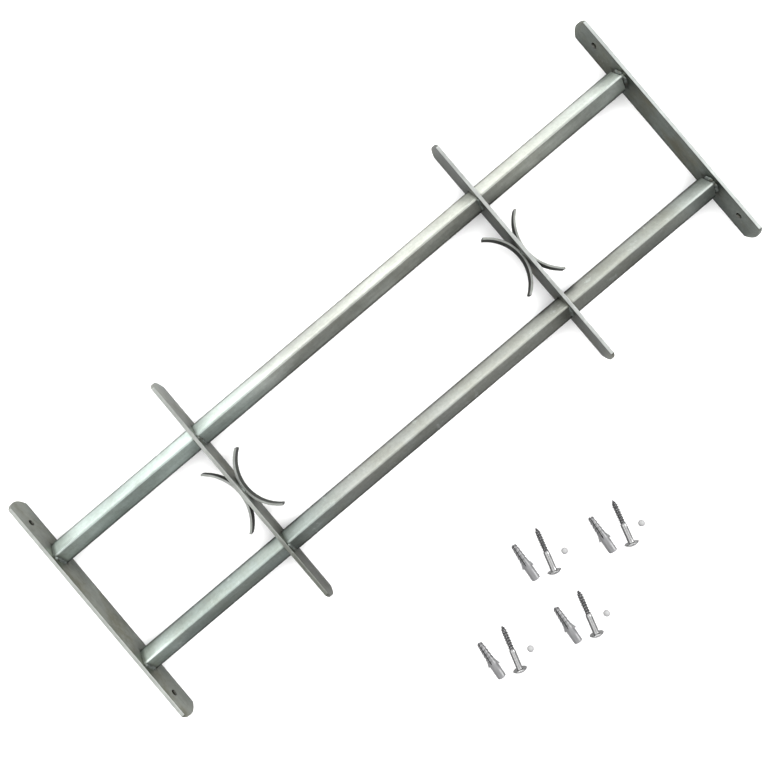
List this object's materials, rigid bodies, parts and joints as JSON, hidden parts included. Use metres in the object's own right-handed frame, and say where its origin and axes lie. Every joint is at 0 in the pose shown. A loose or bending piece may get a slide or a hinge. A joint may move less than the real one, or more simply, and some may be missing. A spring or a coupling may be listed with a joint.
{
  "type": "window security bar",
  "caption": "Telescopic window security bar: square tubes on edge between flat end plates, with crosspieces, bowed strips and a wall fixing kit.",
  "frame": {"origin": "centre of the face of the left end plate that bears on the wall, half-way up the plate and half-way through its depth", "axes": "+X along the bars from the left wall to the right wall, +Y up the window, +Z out of the window towards the room; it lies flat as stored, with the rear edges of the flats on the ground at Z = -17.5 mm"},
  "size_m": [0.804, 0.5239, 0.035],
  "materials": {
    "flat_zinc": "bright zinc plate on drawn flat steel, satin",
    "tube_zinc": "blue zinc plate on drawn square tube, satin",
    "weld_zinc": "zinc plate over a rippled weld bead",
    "screw_steel": "bright zinc plate, semi-gloss",
    "plug_nylon": "moulded grey nylon, matt",
    "ball_steel": "polished pale steel"
  },
  "bodies": {
    "fixed_frame": {"left_end_plate": "flat_zinc", "upper_outer_tube": "tube_zinc", "lower_outer_tube": "tube_zinc", "left_crosspiece": "flat_zinc", "right_crosspiece": "flat_zinc", "left_outboard_bow": "flat_zinc", "left_inboard_bow": "flat_zinc", "right_inboard_bow": "flat_zinc", "right_outboard_bow": "flat_zinc", "left_plate_welds": "weld_zinc", "left_crosspiece_welds": "weld_zinc", "right_crosspiece_welds": "weld_zinc", "left_bow_welds": "weld_zinc", "right_bow_welds": "weld_zinc"},
    "sliding_frame": {"right_end_plate": "flat_zinc", "upper_inner_tube": "tube_zinc", "lower_inner_tube": "tube_zinc", "right_plate_welds": "weld_zinc"},
    "fixing_kit": {"wall_plug_1": "plug_nylon", "wall_screw_1": "screw_steel", "locking_ball_1": "ball_steel", "wall_plug_2": "plug_nylon", "wall_screw_2": "screw_steel", "locking_ball_2": "ball_steel", "wall_plug_3": "plug_nylon", "wall_screw_3": "screw_steel", "locking_ball_3": "ball_steel", "wall_plug_4": "plug_nylon", "wall_screw_4": "screw_steel", "locking_ball_4": "ball_steel"}
  },
  "joints": [
    {"name": "frame_slide", "type": "slide", "parent": "fixed_frame", "child": "sliding_frame", "axis": [1, 0, 0], "range_m": [-0.0005, 0.35]},
    {"name": "kit_slide", "type": "slide", "parent": "fixed_frame", "child": "fixing_kit", "axis": [0, -1, 0], "range_m": [0, 0.1]}
  ]
}
